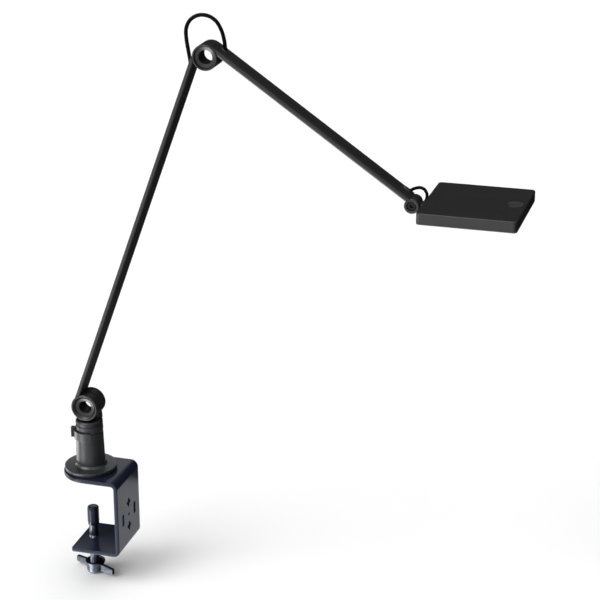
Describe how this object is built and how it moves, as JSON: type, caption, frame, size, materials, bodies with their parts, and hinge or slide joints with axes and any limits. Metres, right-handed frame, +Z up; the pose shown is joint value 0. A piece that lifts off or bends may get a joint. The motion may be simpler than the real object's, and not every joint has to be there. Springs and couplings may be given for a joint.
{
  "type": "architect desk lamp",
  "caption": "Two-arm task lamp: tilting flat bars joined by drum hinges, a tilting square LED head, and a swivel foot in the post of a screw table clamp.",
  "frame": {"origin": "on the desk's top face, which the clamp's top jaw rests on, under the post's axis", "axes": "+Z up along the post's axis; +X from the post towards the lamp head and the clamp's back plate; +Y to the lamp's left as seen from the head"},
  "size_m": [0.5556, 0.12, 0.7163],
  "materials": {
    "clamp_coat": "smooth semi-gloss blue-black enamel on bent steel plate and on the cap",
    "clamp_plastic": "fine satin moulded black",
    "steel": "turned, lightly oiled",
    "dark_steel": "blue-grey plated and oiled",
    "black_screw": "black oxide, oiled",
    "knob_metal": "bright plated die casting",
    "bearing": "black bearing polymer",
    "arm_coat": "fine satin black powder coat",
    "trim_plastic": "fine moulded satin black",
    "cable_rubber": "smooth matte black sheath",
    "opal": "fine prismatic opal sheet",
    "clear_guide": "polished clear acrylic",
    "white_sheet": "white reflector film and solder mask",
    "circuit_board": "green solder mask"
  },
  "bodies": {
    "clamp": {"clamp_bracket": "clamp_coat", "base_disc": "clamp_plastic", "clamp_post": "clamp_plastic", "post_screw_1": "steel", "post_screw_2": "steel", "post_screw_3": "steel", "socket_bush": "bearing", "thrust_washer": "bearing"},
    "lock_clip": {"lock_clip": "clamp_plastic"},
    "pressure_cap": {"pressure_cap": "clamp_coat"},
    "clamp_screw": {"clamp_spindle": "dark_steel", "wing_knob": "knob_metal", "knob_pin": "dark_steel"},
    "foot": {"foot_casting": "arm_coat", "swivel_spigot": "steel", "base_axle_sleeve": "arm_coat", "base_friction_disc": "bearing", "base_lock_ring_front": "arm_coat", "base_lock_ring_back": "arm_coat"},
    "lower_arm": {"lower_arm_bar": "arm_coat", "lower_arm_root_knuckle": "arm_coat", "lower_arm_tip_knuckle": "arm_coat", "lower_arm_inner_cable": "cable_rubber", "lower_arm_cable_gland": "trim_plastic", "elbow_cable_loop": "cable_rubber"},
    "upper_arm": {"upper_arm_root_knuckle": "arm_coat", "upper_arm_bar": "arm_coat", "upper_arm_tip_fork": "arm_coat", "upper_arm_inner_cable": "cable_rubber", "elbow_axle_sleeve": "arm_coat", "elbow_friction_disc": "bearing", "elbow_lock_ring_front": "arm_coat", "elbow_lock_ring_back": "arm_coat", "upper_arm_cable_gland": "trim_plastic", "head_cable_gland": "trim_plastic", "tilt_screw": "black_screw", "tilt_nut": "black_screw", "tilt_washer_front": "bearing", "tilt_washer_back": "bearing", "head_cable_loop": "cable_rubber"},
    "head": {"head_knuckle": "arm_coat", "neck_screw": "steel", "head_housing": "arm_coat", "head_bezel": "trim_plastic", "diffuser": "opal", "light_guide": "clear_guide", "reflector_sheet": "white_sheet", "led_board": "white_sheet", "driver_board": "circuit_board", "button_switch": "trim_plastic", "bezel_screw_1": "steel", "bezel_screw_2": "steel", "bezel_screw_3": "steel", "bezel_screw_4": "steel"},
    "button": {"button_cap": "trim_plastic"}
  },
  "joints": [
    {"name": "base_swivel", "type": "hinge", "parent": "clamp", "child": "foot", "pos_m": [0, 0, 0.066], "axis": [0, 0, 1], "range_deg": [-175, 175]},
    {"name": "lower_arm_tilt", "type": "hinge", "parent": "foot", "child": "lower_arm", "pos_m": [0, 0, 0.09], "axis": [0, 1, 0], "range_deg": [-50, 55]},
    {"name": "elbow_tilt", "type": "hinge", "parent": "lower_arm", "child": "upper_arm", "pos_m": [0.16152, 0, 0.53137], "axis": [0, 1, 0], "range_deg": [-75, 55], "deforming": ["elbow_cable_loop"]},
    {"name": "head_tilt", "type": "hinge", "parent": "upper_arm", "child": "head", "pos_m": [0.39714, 0, 0.38011], "axis": [0, 1, 0], "range_deg": [-60, 75], "deforming": ["head_cable_loop"]},
    {"name": "button_press", "type": "slide", "parent": "head", "child": "button", "axis": [0, 0, -1], "range_m": [0, 0.0007], "stiffness_N_per_m": 400},
    {"name": "clamp_travel", "type": "slide", "parent": "clamp", "child": "pressure_cap", "axis": [0, 0, 1], "range_m": [-0.0035, 0.02625]},
    {"name": "clamp_screw_turn", "type": "hinge", "parent": "pressure_cap", "child": "clamp_screw", "pos_m": [0, 0, -0.1], "axis": [0, 0, 1], "range_deg": [-725, 5405]},
    {"name": "lock_clip_turn", "type": "hinge", "parent": "clamp", "child": "lock_clip", "pos_m": [0, 0, 0.055], "axis": [0, 0, 1], "range_deg": [0, 38]}
  ],
  "couplings": [
    {"joint": "clamp_screw_turn", "follows": "clamp_travel", "rad_per_m": 3590.4}
  ]
}
